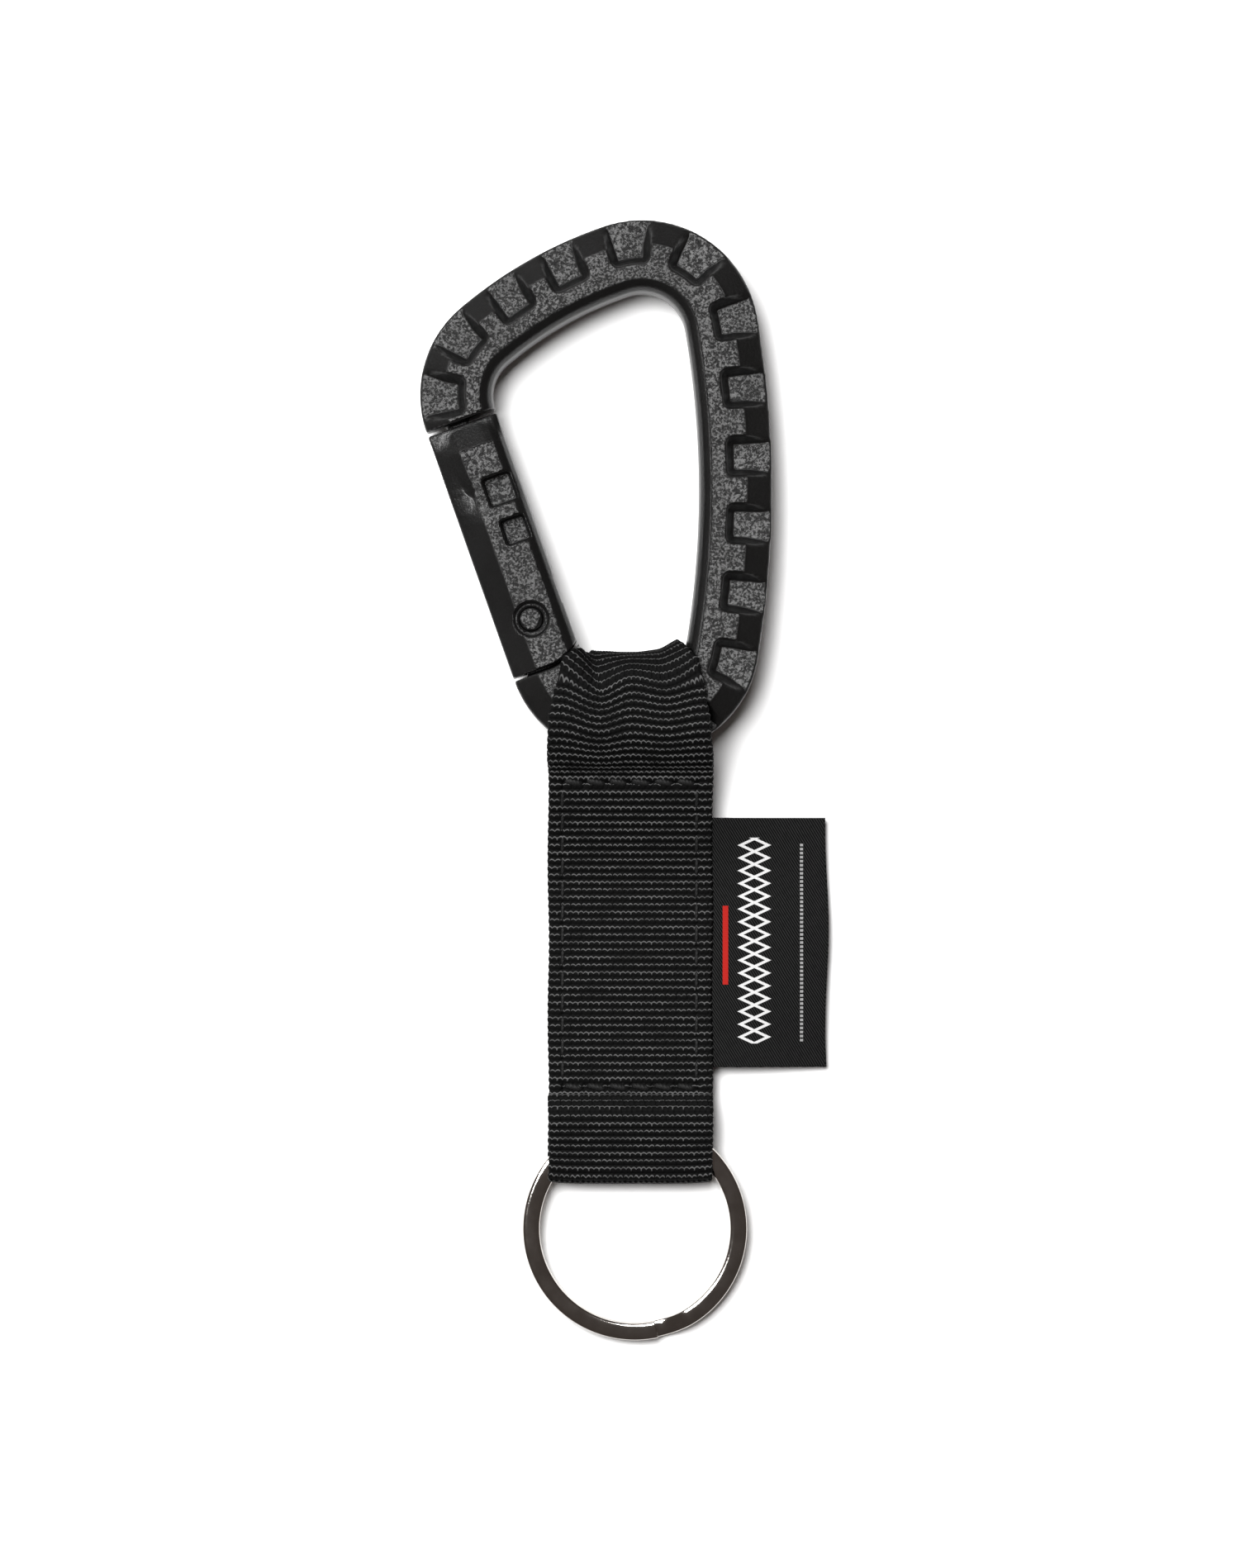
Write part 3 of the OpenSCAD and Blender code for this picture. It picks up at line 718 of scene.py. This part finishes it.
def twill_ribbon():
    finish = Finish("woven_label_ribbon", Specular_IOR_Level=0.05)
    x, y, _ = finish.parts(finish.place("UV"))
    place = finish.place()
    warp = (x * 2.5 + y * 1.5 + finish.noise(place, 400.0) * 0.4).maths("FRACT")
    weft = (y * 4.6).maths("FRACT")
    yarn = finish.ramp((warp - 0.5).maths("ABSOLUTE"), 0.12, 0.42)
    base = finish.mix(yarn * (0.5 + finish.noise(place, 1500.0)), grey(0.0015), grey(0.022))
    # zigzags: distance from two triangle waves that run down the ribbon
    wave = ((y / 3.9).maths("FRACT") - 0.5).maths("ABSOLUTE") * 2
    zig = (x - 17.9 - wave * 4.2).maths("ABSOLUTE")
    zag = (x - 22.1 + wave * 4.2).maths("ABSOLUTE")
    stripe = 1 - finish.ramp(zig.maths("MINIMUM", zag), 0.42, 0.56)
    inside = y.maths("GREATER_THAN", -40.0) * y.maths("LESS_THAN", -8.6)
    woven = finish.mix(stripe * inside * (0.75 + weft * 0.25), base, grey(0.72))
    dashes = (y / 0.62).maths("FRACT").maths("LESS_THAN", 0.6)
    dashes = dashes * (x - 27.2).maths("ABSOLUTE").maths("LESS_THAN", 0.24)
    dashes = dashes * y.maths("GREATER_THAN", -39.7) * y.maths("LESS_THAN", -9.5)
    woven = finish.mix(dashes, woven, grey(0.3))
    bar = (x - 15.6).maths("ABSOLUTE").maths("LESS_THAN", 0.42)
    bar = bar * y.maths("GREATER_THAN", -31.0) * y.maths("LESS_THAN", -19.0)
    woven = finish.mix(bar * (0.8 + weft * 0.2), woven, (0.42, 0.018, 0.014, 1))
    finish.feed("Base Color", woven)
    finish.feed("Roughness", 0.72 + yarn * 0.12)
    finish.bump(yarn * 0.6 + weft * 0.4 + stripe * inside * 0.8, 0.00009)
    return finish.made


def label_ribbon():
    """Both layers as one bent sheet: front, the turn at the free edge, and back."""
    rows, columns = 150, 130
    half_thick, half_gap, turn_room = 0.147, 0.17, 0.3
    reach = label_high.x - tab_low.x - turn_room
    v, u = np.meshgrid(np.linspace(0, 1, rows), np.linspace(0, 1, columns), indexing="ij")
    y = label_low.y + (label_high.y - label_low.y) * v
    x = tab_low.x + reach * u
    free = np.clip((x - 14.2) / 12, 0, 1)
    gap = half_gap + 0.09 * np.sin(np.pi * u) * free
    lifted = slope(y) * (1 - np.clip((x - 13.4) / 11, 0, 1)) ** 1.6
    wave = 0.28 * np.sin(y * 0.19 + 0.6) * free + 0.12 * np.sin(y * 0.47 + x * 0.2) * free
    fall = 1.35 * np.clip((x - 15) / 16, 0, 1) ** 1.7
    z = 2.75 + lifted + wave - fall
    x = x + 0.25 * np.sin(y * 0.21) * free
    angles = np.radians(np.linspace(90, -90, 9))[1:-1]
    edge_x, edge_y, edge_z, edge_gap = x[:, -1], y[:, -1], z[:, -1], gap[:, -1]
    turn = [
        np.stack([edge_x + half_gap * math.cos(a), edge_y, edge_z + edge_gap * math.sin(a)], -1)
        for a in angles
    ]
    front = np.stack([x, y, z + gap], -1)
    back = np.stack([x, y, z - gap], -1)[:, ::-1]
    middle = np.concatenate([front, np.stack(turn, 1), back], 1)
    out = facing(middle) * half_thick
    spots, faces = shell(middle + out, middle - out)
    flat_x = np.concatenate([x, np.repeat(x[:, -1:], len(angles), 1) + 0.1, x[:, ::-1]], 1)
    flat_y = np.repeat(y[:, :1], middle.shape[1], 1)
    flat = np.stack([there_and_back(flat_x), there_and_back(flat_y)], -1)
    piece = closed_piece("label_ribbon", spots, faces, twill_ribbon(), flat)
    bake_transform(piece)
    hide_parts("label", "label_tab")


label_ribbon()


# ---- Split ring
# Flat spring wire with rolled edges, wound to nearly two close turns and nickel plated.
# Its two ends are cut square, and the wire climbs from one turn to the next between them.

spin = next(j for j in frame["joints"] if j["name"] == "ring_spin")


def plated_nickel():
    finish = Finish("bright_nickel_plate", Metallic=1.0)
    place = finish.place()
    streak = finish.noise(place, 420.0, 4.0)
    fine = finish.noise(place, 3600.0, 2.0)
    finish.feed("Base Color", finish.mix(streak, (0.5, 0.475, 0.445, 1), (0.64, 0.61, 0.58, 1)))
    finish.feed("Roughness", 0.07 + streak * 0.07)
    finish.bump(streak * 0.7 + fine * 0.3, 0.000025)
    return finish.made


def wire_ring(steps, around):
    """Points of the wound wire about its own axis, in mm."""
    outer, wide, tall = 17.1, 2.6, 1.15
    pitch = tall + 0.06
    start, turns = math.radians(-54), math.radians(696)
    climb_from, climb_over = math.radians(338), math.radians(19)
    corner = 0.5
    t = np.linspace(0, 1, steps)
    angle = start + turns * t
    ramp = np.clip((turns * t - climb_from) / climb_over, 0, 1)
    level = tall / 2 + pitch * ramp * ramp * (3 - 2 * ramp)
    a = np.linspace(0, 2 * np.pi, around, endpoint=False)
    edge_x = np.sign(np.cos(a)) * np.abs(np.cos(a)) ** corner * wide / 2
    edge_z = np.sign(np.sin(a)) * np.abs(np.sin(a)) ** corner * tall / 2
    radius = (outer - wide / 2) + edge_x[None, :]
    x = radius * np.cos(angle)[:, None]
    y = radius * np.sin(angle)[:, None]
    return np.stack([x, y, level[:, None] + edge_z[None, :]], -1).reshape(-1, 3)


def split_ring():
    steps, around = 900, 28
    tilt = Vector((0, 0, 1)).rotation_difference(Vector(spin["axis"])).to_matrix()
    placed = (np.array(tilt) @ wire_ring(steps, around).T).T + np.array(spin["pos_m"]) / MM
    low, high = (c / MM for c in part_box("split_ring"))
    placed[:, 2] += (low.z + high.z) / 2 - (placed[:, 2].min() + placed[:, 2].max()) / 2
    piece = closed_piece("split_ring_wire", placed, tube_faces(steps, around), plated_nickel())
    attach(piece, "ring")
    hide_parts("split_ring")


split_ring()


# ---- Table, light and camera
# A plain white table, one large softbox high at the left and a faint warm fill.
# The camera looks straight down.

bpy.ops.mesh.primitive_plane_add(size=4, location=(0, 0, -0.0003))
floor = bpy.context.object
floor.name = "table"
floor_finish = Finish("white_table", Base_Color=grey(0.9), Roughness=0.85, Specular_IOR_Level=0.1)
floor.data.materials.append(floor_finish.made)

lamp_at = Vector((-0.34, 0.36, 1.15))
bpy.ops.object.light_add(type="AREA", location=lamp_at)
lamp = bpy.context.object
lamp.data.shape = "SQUARE"
lamp.data.size = 0.75
lamp.data.energy = 34
lamp.rotation_euler = lamp_at.to_track_quat("Z", "Y").to_euler()

world = bpy.data.worlds.new("grey_room")
bpy.context.scene.world = world
world.use_nodes = True
world.node_tree.nodes["Background"].inputs["Color"].default_value = (1.0, 0.84, 0.77, 1)
world.node_tree.nodes["Background"].inputs["Strength"].default_value = 0.07

bpy.ops.object.camera_add(location=(0.0006, -0.00044, 0.9986))
camera = bpy.context.object
camera.data.lens = 150
camera.data.sensor_width = 36
bpy.context.scene.camera = camera
bpy.context.scene.view_settings.view_transform = "Standard"
